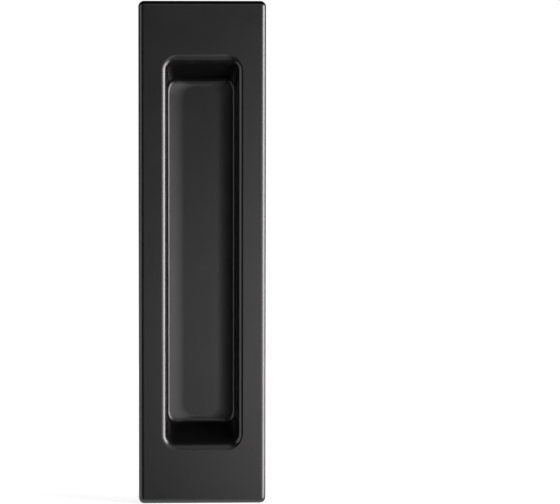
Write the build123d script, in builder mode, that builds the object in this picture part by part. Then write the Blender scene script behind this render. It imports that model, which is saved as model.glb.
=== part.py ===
# Flush pull for a sliding door, cast in one piece: a flat plate that lies on the door
# and a long finger pocket behind it that is let into the door leaf.
# The origin is the middle of the plate's back, on the door's face. +Z is up along the
# pull, +X is to the right as seen from the room, and +Y points into the door.
import os
from math import cos, radians, sin, sqrt, tan

from build123d import *

os.makedirs("parts", exist_ok=True)

# Plate, in millimetres
plate_length = 158.0
plate_width = 40.0
plate_thickness = 2.5
plate_corner = 1.8  # corners of the outline
front_edge = 1.6  # round-over of the front edge

# Pocket: the flat face beside its mouth sets the mouth's width and length
side_margin = 7.2
end_margin = 16.75
pocket_depth = 11.0  # from the face to the floor
mouth_corner = 5.4  # plan radii at the face, on the walls and at the floor
wall_corner = 2.2
floor_corner = 4.2
widest_corner = 0.45  # a corner's radius is at most this part of the pocket's width

# Sections of the long sides and of the two ends. Leans are in degrees from square to the face
side_lip = 1.9
side_lean = 2.0
side_root = 1.3  # between the wall and the floor
end_lip = 4.2
end_lean = 28.0
end_root = 3.3
lip_rise = 0.02  # the lip's arc starts this far above the face, so it leaves the face at an angle

# Dish: along the long sides the floor rises in a wide arc, up to a slope in degrees
dish_radius = 29.0
dish_slope = 9.0

# Casting round the pocket
wall = 1.5
back_fillet = 0.8  # between the plate's back and the pocket's outside

# How finely the sections follow the arcs and the straight walls
arc_steps = 6
wall_steps = 10

mouth_width = plate_width - 2 * side_margin
mouth_length = plate_length - 2 * end_margin


def arc_rise(radius, lean):
    """How far an arc rises or falls while it turns from level into a wall of this lean."""
    return radius * (1 - sin(radians(lean)))


def arc_run(radius, rise):
    """How far an arc has run sideways where it has risen or fallen this much."""
    return sqrt(rise * (2 * radius - rise))


def lip_run(depth, lip):
    """How far the lip has run inwards from the mouth's edge at a depth below the face."""
    return arc_run(lip, depth + lip_rise) - arc_run(lip, lip_rise)


def lip_end(lip, lean):
    """Depth at which the lip has turned into a wall of this lean."""
    return arc_rise(lip, lean) - lip_rise


def root_rise(root, lean, slope, skin):
    """Height above the floor at which the root has turned into a wall of this lean."""
    return arc_rise(dish_radius - root, 90 - slope) + arc_rise(root + skin, lean)


def root_run(height, root, slope, skin):
    """How far the root stands out from the flat floor's edge at a height above the floor.

    The dish rises from the floor up to its slope, and the root's own arc goes on from there.
    """
    if height < arc_rise(dish_radius + skin, 90 - slope):
        return arc_run(dish_radius + skin, height)
    apart = dish_radius - root
    return apart * sin(radians(slope)) + arc_run(root + skin, height - arc_rise(apart, 90 - slope))


def inset(depth, lip, lean, root, slope, skin):
    """How far a wall stands inside the mouth's edge at a depth below the face.

    The section is the lip's arc, a straight wall that leans in, and the root down to the floor.
    A skin moves the wall and the root outwards by a thickness and has no lip.
    """

    def straight(at):
        return lip_run(top, lip) + (at - top) * tan(radians(lean)) - skin / cos(radians(lean))

    top = lip_end(lip, lean)
    floor = pocket_depth + skin
    rise = root_rise(root, lean, slope, skin)
    if depth < top and not skin:
        return lip_run(depth, lip)
    if floor - depth > rise:
        return straight(depth)
    root_left = root_run(rise, root, slope, skin) - root_run(floor - depth, root, slope, skin)
    return straight(floor - rise) + root_left


def section(depth, skin):
    """Width, length and corner radius of the pocket, or of its outside, at a depth below the face.

    The corner's radius goes from the mouth's to the wall's along the lip, and from there opens
    evenly to the floor's. The outside's corner is wider by the skin, down to the root.
    """
    floor = pocket_depth + skin
    lip_foot = lip_end(side_lip, side_lean)
    root_top = floor - root_rise(side_root, side_lean, dish_slope, skin)
    stops = (depth, root_top, floor)
    side, root_in, floor_in = [
        inset(at, side_lip, side_lean, side_root, dish_slope, skin) for at in stops
    ]
    end = inset(depth, end_lip, end_lean, end_root, slope=0, skin=skin)
    in_root = max(0, (side - root_in) / (floor_in - root_in))
    in_lip = 0 if skin else max(0, 1 - side / lip_run(lip_foot, side_lip))
    opened = max(0, (depth - lip_foot) / (floor - lip_foot))
    corner = wall_corner + (floor_corner - wall_corner) * opened + skin * (1 - in_root)
    corner += (mouth_corner - wall_corner) * in_lip
    width = mouth_width - 2 * side
    return width, mouth_length - 2 * end, min(corner, widest_corner * width)


def arc_rises(radius, first, last):
    """Rises along an arc in even turns, from one slope to another in degrees."""
    slopes = [first + (last - first) * step / arc_steps for step in range(arc_steps + 1)]
    return [arc_rise(radius, 90 - slope) for slope in slopes]


def wall_depths(top, bottom):
    """Depths evenly spaced down the straight wall."""
    return [top + (bottom - top) * step / wall_steps for step in range(wall_steps + 1)]


def root_stages(skin):
    """Depths down the root's arc, and then down the dish to the flat floor."""
    floor = pocket_depth + skin
    root_floor = floor - arc_rise(dish_radius - side_root, 90 - dish_slope)
    root = [root_floor - rise for rise in arc_rises(side_root + skin, 90 - side_lean, dish_slope)]
    dish = [floor - rise for rise in arc_rises(dish_radius + skin, dish_slope, 0)]
    return [root, dish]


def at_depth(depth):
    """The plane parallel to the plate at a depth below its face."""
    return Plane.XZ.offset(plate_thickness - depth)


# The inside goes down by lip, walls, root and dish, and the outside by walls, root and dish
lip_depths = [rise - lip_rise for rise in arc_rises(side_lip, 0, 90 - side_lean)]
inside_roots = root_stages(skin=0)
outside_roots = root_stages(skin=wall)
inside_stages = [lip_depths, wall_depths(lip_depths[-1], inside_roots[0][0])] + inside_roots
outside_stages = [wall_depths(plate_thickness, outside_roots[0][0])] + outside_roots

with BuildPart() as flush_pull:
    # The plate, with its front edge rounded over
    with BuildSketch(at_depth(plate_thickness)):
        RectangleRounded(plate_width, plate_length, plate_corner)
    extrude(amount=plate_thickness)
    front_face = flush_pull.faces().sort_by(Axis.Y)[0]
    fillet(front_face.edges(), min(front_edge, 0.9 * plate_corner, 0.9 * plate_thickness))

    # The pocket's outside, and then its inside one wall thickness within
    for stage in outside_stages:
        for depth in stage:
            with BuildSketch(at_depth(depth)):
                RectangleRounded(*section(depth, skin=wall))
        loft()
    for stage in inside_stages:
        for depth in stage:
            with BuildSketch(at_depth(depth)):
                RectangleRounded(*section(depth, skin=0))
        loft(mode=Mode.SUBTRACT)

    # The corner between the plate's back and the pocket's outside
    plate_back = flush_pull.faces().filter_by(Axis.Y).filter_by_position(Axis.Y, 0, 0)[0]
    fillet(plate_back.inner_wires().edges(), back_fillet)

flush_pull.part.label = "flush_pull"
export_step(flush_pull.part, "parts/flush_pull.step")
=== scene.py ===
"""Flush pull for a sliding door: the fine visual model and its studio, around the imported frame."""
from math import cos, pi, radians, sin, tan

import bmesh
import bpy
import numpy as np
from bpy.props import FloatProperty, FloatVectorProperty, PointerProperty
from bpy.types import Operator, Panel, PropertyGroup
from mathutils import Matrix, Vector


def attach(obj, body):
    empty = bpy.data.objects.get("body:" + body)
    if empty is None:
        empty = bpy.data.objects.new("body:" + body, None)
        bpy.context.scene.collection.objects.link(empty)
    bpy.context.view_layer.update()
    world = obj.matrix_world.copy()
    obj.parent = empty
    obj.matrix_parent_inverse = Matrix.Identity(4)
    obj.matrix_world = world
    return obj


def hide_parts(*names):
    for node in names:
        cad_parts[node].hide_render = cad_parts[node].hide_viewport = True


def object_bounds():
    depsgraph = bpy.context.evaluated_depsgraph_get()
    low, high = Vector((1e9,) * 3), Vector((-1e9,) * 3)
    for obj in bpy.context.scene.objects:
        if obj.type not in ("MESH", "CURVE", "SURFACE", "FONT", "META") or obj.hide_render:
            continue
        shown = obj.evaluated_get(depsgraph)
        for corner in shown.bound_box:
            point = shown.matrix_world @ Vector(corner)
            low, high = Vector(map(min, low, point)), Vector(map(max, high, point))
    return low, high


bl_info = {
    "name": "Flush Pull",
    "version": (1, 0, 0),
    "blender": (4, 5, 0),
    "location": "View3D > Sidebar > Flush Pull",
    "description": "Builds a black flush pull for a sliding door and the studio it is shown in",
    "category": "Object",
}

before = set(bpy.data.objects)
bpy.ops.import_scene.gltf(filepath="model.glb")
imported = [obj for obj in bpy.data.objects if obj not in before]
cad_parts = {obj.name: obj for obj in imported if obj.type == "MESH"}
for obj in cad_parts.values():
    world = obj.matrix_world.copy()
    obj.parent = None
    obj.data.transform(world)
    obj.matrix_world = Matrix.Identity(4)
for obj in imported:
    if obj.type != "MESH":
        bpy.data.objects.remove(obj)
CAD_LOW, CAD_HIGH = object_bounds()
MM = 0.001
WIDEST_CORNER = 0.45  # a corner's radius is at most this part of the pocket's width

# The photo's frame, and where the pull stands in it
FRAME_WIDTH_PX = 560
PULL_LEFT_PX = 138.7
PULL_RIGHT_PX = 266.2
AIM_RISE = 0.41 * MM  # the camera looks this far above the pull's middle

# The studio, in metres
SOFTBOX_DISTANCE = 0.48  # from the pull to the standing softboxes
NEAR_FLOOR = 0.4  # the floor shows pure white from this far from the pull
ROOM = 1.6  # half the floor's width, and the height up to which the dark flags reach
CARD_LIFT = 0.5 * MM  # the card in front lies this far above the floor
CARD_GAP = 2.0 * MM  # and ends this far in front of the plate's face

# How finely the surface follows its arcs and flats
ARC_STEPS = 20
CORNER_STEPS = 14
SIDE_STEPS = 16
FLAT_STEPS = 12
MERGE_DISTANCE = 0.001 * MM  # points nearer to each other than this become one


def length(label, what, metres):
    """A length property, its default given in metres."""
    return FloatProperty(name=label, description=what, default=metres, min=0.0, unit="LENGTH", precision=5)


def angle(label, what, degrees):
    """An angle property, its default given in degrees."""
    return FloatProperty(name=label, description=what, default=radians(degrees), subtype="ANGLE")


def share(label, what, part):
    """A property from 0 to 1."""
    return FloatProperty(name=label, description=what, default=part, min=0.0, max=1.0, subtype="FACTOR")


def glow(label, what, radiance):
    """A radiance property, 1 being white."""
    return FloatProperty(name=label, description=what, default=radiance, min=0.0)


class PullSizes(PropertyGroup):
    """Sizes of the casting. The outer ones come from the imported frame."""

    plate_length: length("Plate length", "Height of the plate", CAD_HIGH[2] - CAD_LOW[2])
    plate_width: length("Plate width", "Width of the plate", CAD_HIGH[0] - CAD_LOW[0])
    plate_thickness: length("Plate thickness", "From the door's face to the plate's face", -CAD_LOW[1])
    plate_corner: length("Plate corner", "Corner radius of the outline", 1.8 * MM)
    front_edge: length("Front edge", "Round-over of the front edge", 1.6 * MM)
    back_edge: length("Back edge", "Small round on the plate's back edge", 0.15 * MM)
    side_margin: length("Side margin", "Flat face beside the mouth", 7.2 * MM)
    end_margin: length("End margin", "Flat face above and below the mouth", 16.75 * MM)
    pocket_depth: length("Pocket depth", "From the face to the floor", 11.0 * MM)
    mouth_corner: length("Mouth corner", "Plan radius of the mouth at the face", 5.4 * MM)
    wall_corner: length("Wall corner", "Plan radius of the walls", 2.2 * MM)
    floor_corner: length("Floor corner", "Plan radius at the floor", 4.2 * MM)
    side_lip: length("Side lip", "Radius of the lip along the sides", 1.9 * MM)
    side_lean: angle("Side lean", "Lean of the long walls from square", 2.0)
    side_root: length("Side root", "Radius between the long walls and the floor", 1.3 * MM)
    dish_radius: length("Dish radius", "Arc in which the floor rises along the long sides", 29.0 * MM)
    dish_slope: angle("Dish slope", "Slope at which the dish goes over into the side root", 9.0)
    end_lip: length("End lip", "Radius of the lip at the ends", 4.2 * MM)
    end_lean: angle("End lean", "Lean of the end walls from square", 28.0)
    end_root: length("End root", "Radius between the end walls and the floor", 3.3 * MM)
    lip_rise: length("Lip rise", "How far above the face the lip's arc starts", 0.02 * MM)
    wall: length("Wall", "Thickness of the casting round the pocket", 1.5 * MM)
    back_fillet: length("Back fillet", "Radius between the plate's back and the pocket", 0.8 * MM)


class PullFinish(PropertyGroup):
    """Black satin coat."""

    black: FloatVectorProperty(
        name="Black", description="Colour of the coat", subtype="COLOR", size=3, min=0, max=1,
        default=(0.0022, 0.0021, 0.0021),
    )
    speckle: length("Speckle", "Spacing of the speckle in the black", 0.875 * MM)
    speckle_spread: share("Speckle spread", "Part of the black that the speckle adds or takes", 0.3)
    roughness: share("Roughness", "Satin of the coat", 0.3)
    patch: length("Patch", "Spacing of the slow patches in the satin", 10.0 * MM)
    patch_spread: share("Patch spread", "Roughness from the smoothest patch to the dullest", 0.09)
    grain: length("Grain", "Spacing of the coat's fine grain", 0.35 * MM)
    grain_spread: share("Grain spread", "Roughness from the grain's hollows to its tops", 0.08)
    grain_height: length("Grain height", "Height of the coat's fine grain", 0.0006 * MM)


class StudioSetup(PropertyGroup):
    """Camera, lamps and floor."""

    camera_distance: length("Camera distance", "From the camera to the plate's face", 0.9)
    camera_rise: angle("Camera rise", "How far above the pull the camera stands", 3.0)
    camera_turn: angle("Camera turn", "How far to the right of the pull the camera stands", -2.4)
    key_glow: glow("Key", "Radiance of the strong softbox on the right", 12.8)
    front_glow: glow("Front", "Radiance of the weak softbox in front on the right", 1.9)
    low_glow: glow("Low", "Radiance of the weak strip low down in front", 0.9)
    upper_glow: glow("Upper", "Radiance of the weak softbox in front and above", 0.7)
    fill_glow: glow("Fill", "Radiance of the softbox on the left", 1.55)
    back_glow: glow("Back", "Radiance of the softbox behind", 0.45)
    floor_near: share("Floor near", "White that the floor shows of its own round the pull", 0.74)
    floor_grey: share("Floor grey", "Part of the lamps' light that the floor gives back", 0.6)
    card_grey: share("Card grey", "Part of the lamps' light that the card in front gives back", 0.75)


class Shade:
    """One socket of a node tree. Maths on it adds Math nodes to the tree."""

    def __init__(self, tree, socket=None):
        self.tree = tree
        self.socket = socket

    def node(self, kind, inputs=None, output=0, **settings):
        """Adds a node: its settings first, then the values or links of its sockets. Gives one output."""
        made = self.tree.nodes.new(kind)
        for name, value in settings.items():
            setattr(made, name, value)
        for name, value in (inputs or {}).items():
            if isinstance(value, Shade):
                self.tree.links.new(value.socket, made.inputs[name])
            else:
                made.inputs[name].default_value = value
        return Shade(self.tree, made.outputs[output] if len(made.outputs) else None)

    def maths(self, operation, first, second):
        """A Math node on two values."""
        return self.node("ShaderNodeMath", {0: first, 1: second}, operation=operation)

    def __add__(self, other):
        return self.maths("ADD", self, other)

    def __radd__(self, other):
        return self.maths("ADD", other, self)

    def __sub__(self, other):
        return self.maths("SUBTRACT", self, other)

    def __rsub__(self, other):
        return self.maths("SUBTRACT", other, self)

    def __mul__(self, other):
        return self.maths("MULTIPLY", self, other)

    def __rmul__(self, other):
        return self.maths("MULTIPLY", other, self)

    def mix(self, low, high):
        """A colour between two colours, by this value. A Mix node has its colours in sockets 6 and 7."""
        low, high = [end if isinstance(end, Shade) else (*end, 1.0) for end in (low, high)]
        return self.node("ShaderNodeMix", {0: self, 6: low, 7: high}, output=2, data_type="RGBA")


def grey(level):
    """A grey colour of one level."""
    return (level, level, level)


def new_tree(owner):
    """An empty node tree of a material or world, as a Shade to add nodes from."""
    owner.use_nodes = True
    owner.node_tree.nodes.clear()
    return Shade(owner.node_tree)


def black_coat(finish):
    """Satin black coat: speckle in the black, slow patches in the satin, fine grain in satin and bump."""
    material = bpy.data.materials.new("black_coat")
    tree = new_tree(material)
    place = tree.node("ShaderNodeTexCoord", output="Object")
    grain = tree.node(
        "ShaderNodeTexNoise", {"Vector": place, "Scale": 1 / finish.grain, "Detail": 3.0, "Roughness": 0.6}
    )
    patches = tree.node("ShaderNodeTexNoise", {"Vector": place, "Scale": 1 / finish.patch, "Detail": 3.0})
    speckle = tree.node("ShaderNodeTexNoise", {"Vector": place, "Scale": 1 / finish.speckle, "Detail": 2.0})
    black = np.array(finish.black)
    colour = speckle.mix(black * (1 - finish.speckle_spread), black * (1 + finish.speckle_spread))
    satin = finish.roughness + (patches - 0.5) * finish.patch_spread + (grain - 0.5) * finish.grain_spread
    bump = tree.node("ShaderNodeBump", {"Height": grain, "Strength": 1.0, "Distance": finish.grain_height})
    coat = tree.node(
        "ShaderNodeBsdfPrincipled",
        {
            "Base Color": colour, "Roughness": satin, "Normal": bump, "Metallic": 0.0, "IOR": 1.6,
            "Specular Tint": (1.0, 0.965, 0.98, 1.0),
        },
    )
    tree.node("ShaderNodeOutputMaterial", {"Surface": coat})
    return material


def arc_run(radius, rise):
    """Sideways run of an arc where it has risen or fallen this much from level."""
    return np.sqrt(np.maximum(rise * (2 * radius - rise), 0.0))


def arc_rise(radius, lean):
    """Rise of an arc that turns from level into a wall of this lean."""
    return radius * (1 - sin(lean))


def root_rise(root, lean, slope, skin, sizes):
    """Height above the floor at which the root has turned into a wall of this lean."""
    return arc_rise(sizes.dish_radius - root, pi / 2 - slope) + arc_rise(root + skin, lean)


def root_run(height, root, slope, skin, sizes):
    """How far the root stands out from the flat floor's edge at each height above the floor.

    A wide arc rises from the floor up to the slope, and the root's own arc goes on from there.
    """
    dish, apart = sizes.dish_radius + skin, sizes.dish_radius - root
    above = np.maximum(height - arc_rise(apart, pi / 2 - slope), 0.0)
    on_root = apart * sin(slope) + arc_run(root + skin, above)
    return np.where(height < arc_rise(dish, pi / 2 - slope), arc_run(dish, height), on_root)


def inset(depth, lip, lean, root, slope, skin, sizes):
    """How far a wall stands inside the mouth's edge at each depth below the face.

    The section is the lip's arc, a straight wall that leans in, and the root down to the floor. A skin moves
    the wall and the root outwards by a thickness and has no lip.
    """
    top = arc_rise(lip, lean) - sizes.lip_rise
    rise = root_rise(root, lean, slope, skin, sizes)
    height = np.minimum(sizes.pocket_depth + skin - depth, rise)

    def lip_run(at):
        return arc_run(lip, at + sizes.lip_rise) - arc_run(lip, sizes.lip_rise)

    above_root = np.minimum(depth, sizes.pocket_depth + skin - rise)
    straight = lip_run(top) + (above_root - top) * tan(lean) - skin / cos(lean)
    walls = straight + root_run(rise, root, slope, skin, sizes) - root_run(height, root, slope, skin, sizes)
    return np.where((depth < top) & (skin == 0), lip_run(np.minimum(depth, top)), walls)


def sections(depth, skin, sizes):
    """Half width, half length, corner radius and depth of the pocket, or of its outside, at each depth.

    The corner's radius goes from the mouth's to the wall's along the lip, and from there opens evenly to
    the floor's. The outside's corner is wider by the skin, down to the root.
    """
    sides = (sizes.side_lip, sizes.side_lean, sizes.side_root, sizes.dish_slope)
    ends = (sizes.end_lip, sizes.end_lean, sizes.end_root, 0.0)
    floor = sizes.pocket_depth + skin
    root_top = floor - root_rise(sizes.side_root, sizes.side_lean, sizes.dish_slope, skin, sizes)
    lip_end = arc_rise(sizes.side_lip, sizes.side_lean) - sizes.lip_rise
    side = inset(depth, *sides, skin, sizes)
    end = inset(depth, *ends, skin, sizes)
    root_in, floor_in = inset(np.array([root_top, floor]), *sides, skin, sizes)
    in_root = np.maximum(side - root_in, 0.0) / (floor_in - root_in)
    in_lip = np.maximum(1 - side / inset(lip_end, *sides, 0.0, sizes), 0.0) * (skin == 0)
    opened = np.maximum(depth - lip_end, 0.0) / (floor - lip_end)
    corner = sizes.wall_corner + (sizes.floor_corner - sizes.wall_corner) * opened + skin * (1 - in_root)
    corner = corner + (sizes.mouth_corner - sizes.wall_corner) * in_lip
    half_width = sizes.plate_width / 2 - sizes.side_margin - side
    half_length = sizes.plate_length / 2 - sizes.end_margin - end
    return np.stack([half_width, half_length, np.minimum(corner, WIDEST_CORNER * 2 * half_width), depth])


def eased(steps):
    """Numbers from 0 to 1 that crowd towards both ends.

    Each is half of 1 plus or minus a share, which is 1 less the cube of the distance from the nearer end.
    """
    middle = np.linspace(-1.0, 1.0, steps + 1)
    return (1 + np.sign(middle) * (1 - (1 - np.abs(middle)) ** 3)) / 2


def shrunk(ring, by):
    """A ring moved inwards in its plane by each distance, its corners sharpening as they run out."""
    width, high, corner, depth = ring
    return np.stack([width - by, high - by, np.maximum(corner - by, 0.0), np.full_like(by, depth)])


def between(first, last):
    """Rings in a straight run from one ring to another, without the two themselves."""
    part = eased(FLAT_STEPS)[1:-1]
    return first[:, None] + (last - first)[:, None] * part


def rises(radius, first, last):
    """Rises along an arc in even turns, from one slope to another: the radius less its cosine."""
    return radius * (1 - np.cos(np.linspace(first, last, ARC_STEPS + 1)))


def root_stops(skin, sizes):
    """Depths down the roots of the long sides and of the ends, the side's highest one first."""
    root = rises(sizes.side_root + skin, pi / 2 - sizes.side_lean, sizes.dish_slope)
    root = root + arc_rise(sizes.dish_radius - sizes.side_root, pi / 2 - sizes.dish_slope)
    dish = rises(sizes.dish_radius + skin, sizes.dish_slope, 0.0)
    end = rises(sizes.end_root + skin, pi / 2 - sizes.end_lean, 0.0)
    return sizes.pocket_depth + skin - np.concatenate([root, dish, end])


def wall_stops(top, bottom):
    """Depths down a straight wall, crowded towards its ends."""
    return top + (bottom - top) * eased(FLAT_STEPS)


def distinct(depths):
    """Depths in order, equal ones only once."""
    return np.unique(depths.round(8))


def inside_rings(sizes):
    """Rings of the pocket's inside, from the mouth down to the edge of the flat floor."""
    side_lip = rises(sizes.side_lip, 0.0, pi / 2 - sizes.side_lean) - sizes.lip_rise
    end_lip = rises(sizes.end_lip, 0.0, pi / 2 - sizes.end_lean) - sizes.lip_rise
    roots = root_stops(0.0, sizes)
    stops = np.concatenate([[0.0], side_lip, end_lip, wall_stops(side_lip[-1], roots[0]), roots])
    return sections(distinct(stops[stops >= 0.0]), 0.0, sizes)


def outside_rings(sizes):
    """Rings of the pocket's outside, from the foot of the fillet down to the edge of its flat end."""
    roots = root_stops(sizes.wall, sizes)
    stops = np.concatenate([wall_stops(sizes.plate_thickness + sizes.back_fillet, roots[0]), roots])
    return sections(distinct(stops), sizes.wall, sizes)


def fillet_rings(foot, sizes):
    """Rings of the fillet from its foot on the pocket's outside up to the plate's back.

    They stand out from the foot by the radius less its cosine, and come up by its sine.
    """
    climb = np.linspace(0.0, pi / 2, ARC_STEPS + 1)[1:]
    out = sizes.back_fillet * (1 - np.cos(climb))
    return foot[:, None] + np.stack([out, out, out, -sizes.back_fillet * np.sin(climb)])


def rim_rings(sizes):
    """Rings of the plate's rim: the round-over of its front edge, its side and its small back edge.

    The rings of an arc stand in from the outline by the radius less its sine in front and its cosine behind.
    """
    outline = np.array([sizes.plate_width / 2, sizes.plate_length / 2, sizes.plate_corner, 0.0])
    turn = np.linspace(0.0, pi / 2, ARC_STEPS + 1)
    front = shrunk(outline, sizes.front_edge * (1 - np.sin(turn)))
    front[3] = sizes.front_edge * (1 - np.cos(turn))
    back = shrunk(outline, sizes.back_edge * (1 - np.cos(turn)))
    back[3] = sizes.plate_thickness - sizes.back_edge * (1 - np.sin(turn))
    return np.concatenate([front, between(front[:, -1], back[:, 0]), back], axis=1)


def pull_rings(sizes):
    """All rings of the casting, from the middle of the pocket's floor over the lip and face to the back.

    Each ring is a rounded rectangle parallel to the plate: half width, half length, corner radius, depth.
    """
    inside, rim, outside = inside_rings(sizes), rim_rings(sizes), outside_rings(sizes)
    fillet = fillet_rings(outside[:, 0], sizes)
    inwards = eased(2 * FLAT_STEPS)[1:]
    return np.concatenate(
        [
            shrunk(inside[:, -1], inside[0, -1] * inwards[::-1]),
            inside[:, ::-1],
            between(inside[:, 0], rim[:, 0]),
            rim,
            between(rim[:, -1], fillet[:, -1]),
            fillet[:, ::-1],
            outside,
            shrunk(outside[:, -1], outside[0, -1] * inwards),
        ],
        axis=1,
    )


def round_the_ring():
    """Once round a rounded rectangle: signs of the straight part, and the corner arcs' cosine and sine.

    A point is sign times half the straight part, plus the arc's cosine or sine times the corner radius. Each
    quarter has one corner's arc and then the straight side after it, to the left, down, to the right and up.
    """
    arc = np.linspace(0.0, pi / 2, CORNER_STEPS + 1)
    run = 1 - 2 * eased(SIDE_STEPS)[1:-1]
    one, flat = np.ones_like(arc), np.ones_like(run)
    parts = []
    for quarter, (right, up) in enumerate([(1, 1), (-1, 1), (-1, -1), (1, -1)]):
        turn = arc + quarter * pi / 2
        parts.append(np.stack([right * one, up * one, np.cos(turn), np.sin(turn)]))
        across, along = (up * run, up * flat) if quarter % 2 == 0 else (right * flat, up * run)
        parts.append(np.stack([across, along, np.cos(turn[-1]) * flat, np.sin(turn[-1]) * flat]))
    return np.concatenate(parts, axis=1)


def pull_mesh(sizes):
    """Mesh of the casting: every ring carried round the rounded rectangle, joined into quads.

    A point's x and z are its sign times the ring's half size less the corner radius, plus the arc's cosine or
    sine times that radius. Its y is the ring's depth less the plate's thickness.
    """
    width, high, corner, depth = pull_rings(sizes)[:, :, None]
    right, up, cosine, sine = round_the_ring()[:, None, :]
    x = right * (width - corner) + cosine * corner
    z = up * (high - corner) + sine * corner
    y = np.broadcast_to(depth - sizes.plate_thickness, x.shape)
    points = np.stack([x, y, z], axis=-1)
    spot = np.arange(x.size).reshape(x.shape)
    after = np.roll(spot, -1, axis=1)
    quads = np.stack([spot[:-1], spot[1:], after[1:], after[:-1]], axis=-1).reshape(-1, 4)
    mesh = bpy.data.meshes.new("flush_pull_surface")
    mesh.from_pydata(points.reshape(-1, 3), [], quads)
    shell = bmesh.new()
    shell.from_mesh(mesh)
    bmesh.ops.remove_doubles(shell, verts=shell.verts, dist=MERGE_DISTANCE)
    shell.to_mesh(mesh)
    shell.free()
    mesh.shade_smooth()
    return mesh


class FLUSHPULL_OT_casting(Operator):
    """Builds the casting as one fine surface in place of the CAD node, with its black coat"""

    bl_idname = "flush_pull.casting"
    bl_label = "Casting"

    def execute(self, context):
        scene = context.scene
        casting = bpy.data.objects.new("casting", pull_mesh(scene.pull_sizes))
        casting.data.materials.append(black_coat(scene.pull_finish))
        scene.collection.objects.link(casting)
        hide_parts("flush_pull")
        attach(casting, "root")
        return {"FINISHED"}


def seen(tree):
    """1 where the camera sees a surface, straight or in a gloss or through glass, and 0 for other light."""
    rays = ("Is Camera Ray", "Is Glossy Ray", "Is Transmission Ray")
    camera, gloss, glass = [tree.node("ShaderNodeLightPath", output=ray) for ray in rays]
    return camera + gloss + glass


def softbox(name, radiance, place, size, target):
    """A rectangular soft lamp at a place, turned to a target. Its power is pi times area and radiance."""
    lamp = bpy.data.lights.new(name, "AREA")
    lamp.shape = "RECTANGLE"
    lamp.size, lamp.size_y = size
    lamp.energy = pi * size[0] * size[1] * radiance
    box = bpy.data.objects.new(name, lamp)
    box.location = place
    box.rotation_euler = (Vector(target) - Vector(place)).to_track_quat("-Z", "Y").to_euler()
    box.visible_camera = False
    bpy.context.scene.collection.objects.link(box)


def standing_softbox(name, radiance, turn, width, height):
    """A softbox that stands upright on the floor round the pull, at a turn in degrees to the right."""
    away = radians(turn)
    middle = CAD_LOW[2] + height / 2
    place = (SOFTBOX_DISTANCE * sin(away), -SOFTBOX_DISTANCE * cos(away), middle)
    softbox(name, radiance, place, (width, height), (0.0, 0.0, middle))


def stage_piece(name, points, faces, material):
    """A plain mesh of the studio."""
    mesh = bpy.data.meshes.new(name)
    mesh.from_pydata(points, [], faces)
    mesh.materials.append(material)
    piece = bpy.data.objects.new(name, mesh)
    bpy.context.scene.collection.objects.link(piece)
    return piece


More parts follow.
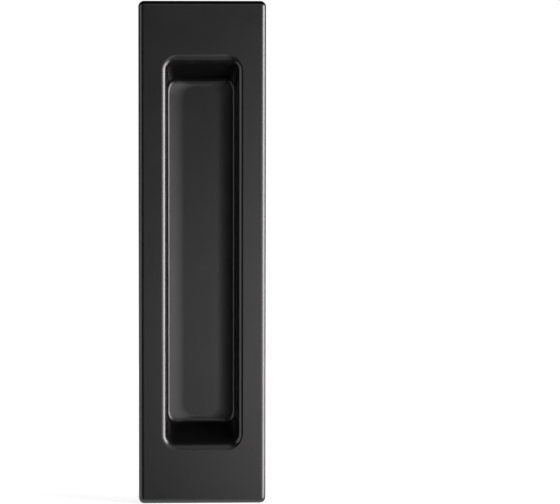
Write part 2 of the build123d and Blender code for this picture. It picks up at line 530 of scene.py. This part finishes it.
class FLUSHPULL_OT_studio(Operator):
    """Sets up the floor, the surroundings, the softboxes and the camera"""

    bl_idname = "flush_pull.studio"
    bl_label = "Studio"

    def execute(self, context):
        scene = context.scene
        setup = scene.studio_setup
        scene.view_settings.view_transform = "Standard"
        self.white_world(scene)
        self.pale_floor(setup)
        self.grey_card(setup)
        self.dark_flags()
        self.lamps(setup)
        self.camera(scene, setup)
        return {"FINISHED"}

    def white_world(self, scene):
        """A world that is white where it is seen and gives only a little light of its own."""
        world = bpy.data.worlds.new("white_room")
        tree = new_tree(world)
        colour = seen(tree).mix(grey(0.1), grey(1.0))
        light = tree.node("ShaderNodeBackground", {"Color": colour, "Strength": 1.0})
        tree.node("ShaderNodeOutputWorld", {"Surface": light})
        scene.world = world

    def pale_floor(self, setup):
        """A square floor under the pull. It shows white of its own, a little less round the pull."""
        material = bpy.data.materials.new("pale_floor")
        tree = new_tree(material)
        place = tree.node("ShaderNodeTexCoord", output="Object")
        scaled = tree.node("ShaderNodeVectorMath", {0: place, "Scale": 1 / NEAR_FLOOR}, operation="SCALE")
        near = tree.node("ShaderNodeTexGradient", {"Vector": scaled}, output="Fac", gradient_type="SPHERICAL")
        white = near.mix(grey(1.0), grey(setup.floor_near))
        paint = tree.node(
            "ShaderNodeBsdfPrincipled",
            {
                "Base Color": (*grey(setup.floor_grey), 1.0), "Roughness": 0.9, "Specular IOR Level": 0.0,
                "Emission Color": seen(tree).mix(grey(0.0), white), "Emission Strength": 1.0,
            },
        )
        tree.node("ShaderNodeOutputMaterial", {"Surface": paint})
        low = CAD_LOW[2]
        corners = [(-ROOM, -ROOM, low), (ROOM, -ROOM, low), (ROOM, ROOM, low), (-ROOM, ROOM, low)]
        stage_piece("floor", corners, [(0, 1, 2, 3)], material)

    def grey_card(self, setup):
        """A glossy card on the floor in front of the pull, which shows in the pull's gloss only."""
        material = bpy.data.materials.new("grey_card")
        tree = new_tree(material)
        gloss = {"Base Color": (*grey(setup.card_grey), 1.0), "Roughness": 0.15, "Metallic": 1.0}
        paint = tree.node("ShaderNodeBsdfPrincipled", gloss)
        tree.node("ShaderNodeOutputMaterial", {"Surface": paint})
        low, back = CAD_LOW[2] + CARD_LIFT, CAD_LOW[1] - CARD_GAP
        corners = [(-ROOM, -ROOM, low), (ROOM, -ROOM, low), (ROOM, back, low), (-ROOM, back, low)]
        card = stage_piece("grey_card", corners, [(0, 1, 2, 3)], material)
        card.visible_camera = False
        card.visible_diffuse = False
        card.visible_shadow = False

    def dark_flags(self):
        """Black cards round and over the floor, unseen by the camera, to keep the room out of the gloss."""
        material = bpy.data.materials.new("black_cloth")
        tree = new_tree(material)
        cloth = tree.node("ShaderNodeBsdfDiffuse", {"Color": (*grey(0.02), 1.0)})
        tree.node("ShaderNodeOutputMaterial", {"Surface": cloth})
        corners = [(-ROOM, -ROOM), (ROOM, -ROOM), (ROOM, ROOM), (-ROOM, ROOM)]
        points = [(x, y, CAD_LOW[2]) for x, y in corners] + [(x, y, ROOM) for x, y in corners]
        faces = [(0, 1, 5, 4), (1, 2, 6, 5), (2, 3, 7, 6), (3, 0, 4, 7), (4, 5, 6, 7)]
        stage_piece("dark_flags", points, faces, material).visible_camera = False

    def lamps(self, setup):
        """A strong softbox on the right, and weaker ones in front, above, on the left and behind."""
        standing_softbox("key_softbox", setup.key_glow, turn=69, width=0.38, height=0.32)
        standing_softbox("front_softbox", setup.front_glow, turn=25, width=0.34, height=0.14)
        standing_softbox("low_strip", setup.low_glow, turn=10, width=0.2, height=0.05)
        upper = (0.1, -0.48, 0.3)
        softbox("upper_softbox", setup.upper_glow, upper, size=(0.4, 0.34), target=(0.0, 0.0, 0.0))
        standing_softbox("fill_softbox", setup.fill_glow, turn=-70, width=0.34, height=0.43)
        standing_softbox("back_softbox", setup.back_glow, turn=180, width=0.5, height=0.5)

    def camera(self, scene, setup):
        """A camera whose frame holds the pull where the photo's does."""
        sizes = scene.pull_sizes
        data = bpy.data.cameras.new("camera")
        eye = bpy.data.objects.new("camera", data)
        rise, turn = setup.camera_rise, setup.camera_turn
        away = Vector((sin(turn) * cos(rise), -cos(turn) * cos(rise), sin(rise))) * setup.camera_distance
        eye.location = Vector((0.0, -sizes.plate_thickness, AIM_RISE)) + away
        eye.rotation_euler = (-away).to_track_quat("-Z", "Y").to_euler()
        across = sizes.plate_width * FRAME_WIDTH_PX / (PULL_RIGHT_PX - PULL_LEFT_PX)
        data.lens = data.sensor_width * setup.camera_distance / across
        data.shift_x = 0.5 - (PULL_LEFT_PX + PULL_RIGHT_PX) / 2 / FRAME_WIDTH_PX
        scene.collection.objects.link(eye)
        scene.camera = eye


class FLUSHPULL_PT_sidebar(Panel):
    """Lists the steps, the sizes, the finish and the studio"""

    bl_idname = "FLUSHPULL_PT_sidebar"
    bl_label = "Flush Pull"
    bl_space_type = "VIEW_3D"
    bl_region_type = "UI"
    bl_category = "Flush Pull"

    def draw(self, context):
        scene = context.scene
        for step in STEPS:
            self.layout.operator(step.bl_idname)
        for group in (scene.pull_sizes, scene.pull_finish, scene.studio_setup):
            box = self.layout.box()
            for name in group.__annotations__:
                box.prop(group, name)


GROUPS = (PullSizes, PullFinish, StudioSetup)
STEPS = (FLUSHPULL_OT_casting, FLUSHPULL_OT_studio)
CLASSES = GROUPS + STEPS + (FLUSHPULL_PT_sidebar,)


def register():
    for kind in CLASSES:
        bpy.utils.register_class(kind)
    bpy.types.Scene.pull_sizes = PointerProperty(type=PullSizes)
    bpy.types.Scene.pull_finish = PointerProperty(type=PullFinish)
    bpy.types.Scene.studio_setup = PointerProperty(type=StudioSetup)


def unregister():
    del bpy.types.Scene.studio_setup
    del bpy.types.Scene.pull_finish
    del bpy.types.Scene.pull_sizes
    for kind in reversed(CLASSES):
        bpy.utils.unregister_class(kind)


def main():
    """Builds the pull and its studio."""
    register()
    bpy.ops.flush_pull.casting()
    bpy.ops.flush_pull.studio()


if __name__ == "__main__":
    main()
